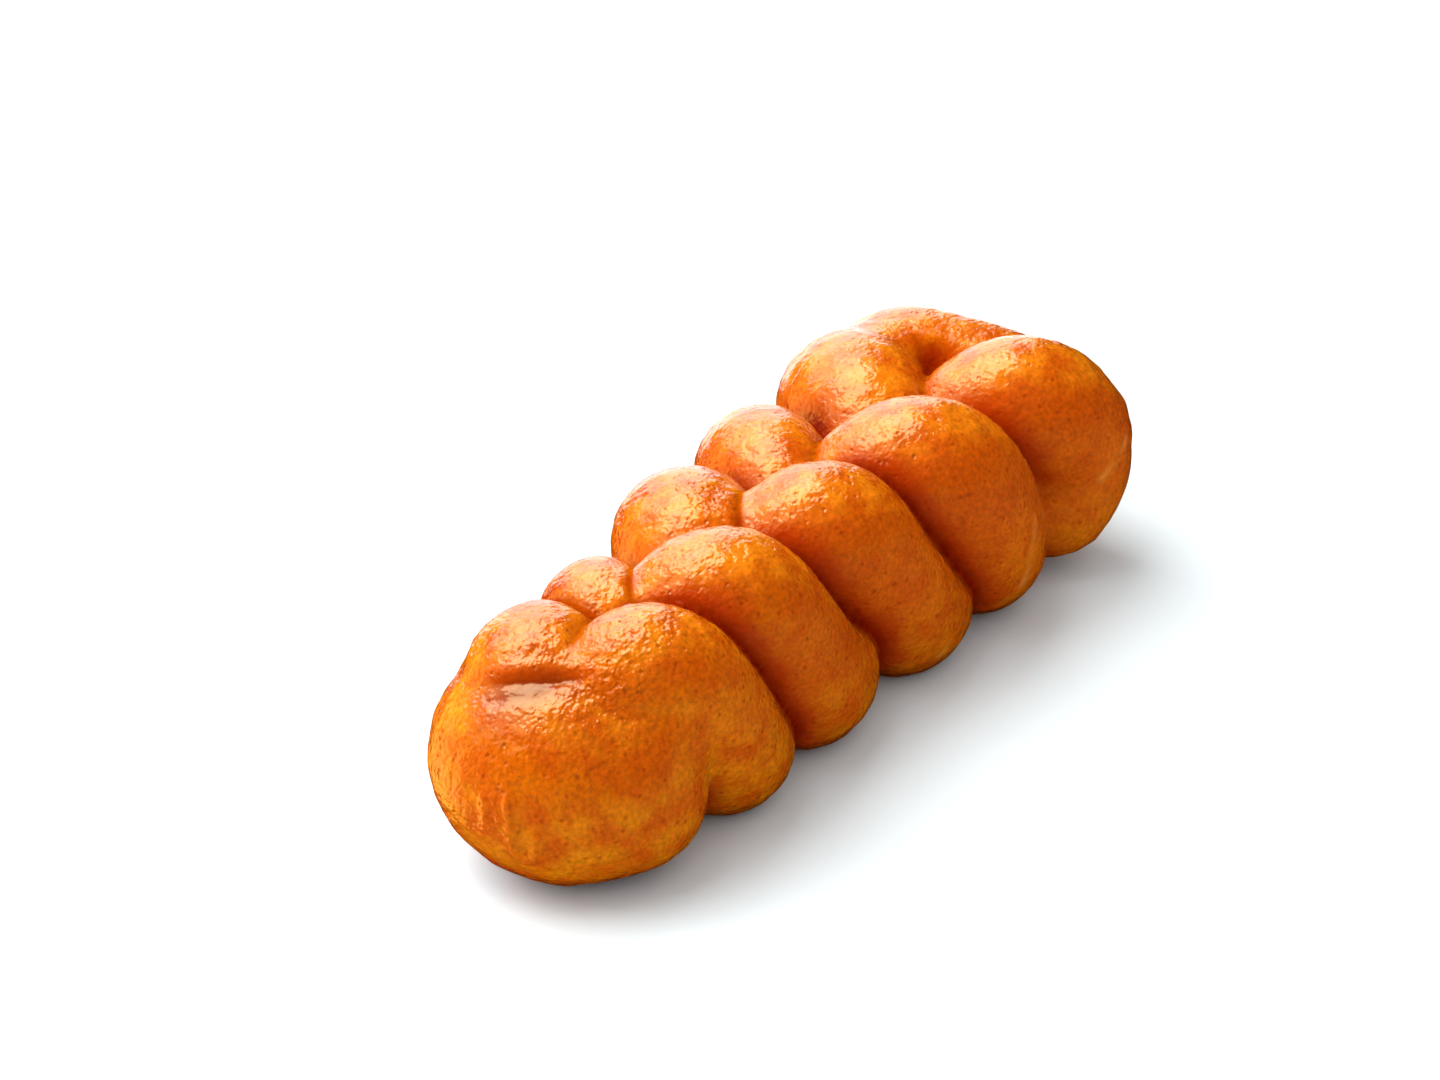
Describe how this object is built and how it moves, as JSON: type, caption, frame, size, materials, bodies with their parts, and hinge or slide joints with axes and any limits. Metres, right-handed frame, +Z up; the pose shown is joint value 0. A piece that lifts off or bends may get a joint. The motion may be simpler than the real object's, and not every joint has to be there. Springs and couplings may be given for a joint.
{
  "type": "cinnamon twist",
  "caption": "Long fried yeast-dough twist: ropes of dough plaited into swollen lobes in a herringbone, pinched to a round bulb at one end and turned across at the other, with a shiny crust.",
  "frame": {"origin": "Middle of the twist's footprint, on the flat it rests on (bottom centre of the bounding box).", "axes": "+X runs along the twist from the slimmer, bulb end to the broader end, +Y is to its left seen from the bulb end, and +Z is up."},
  "size_m": [0.1732, 0.0666, 0.0489],
  "materials": {
    "fried_crust": "glossy orange-brown fried crust with a thin shiny glaze, darker and redder in the furrows"
  },
  "bodies": {
    "root": {"twist": "fried_crust"}
  },
  "joints": []
}
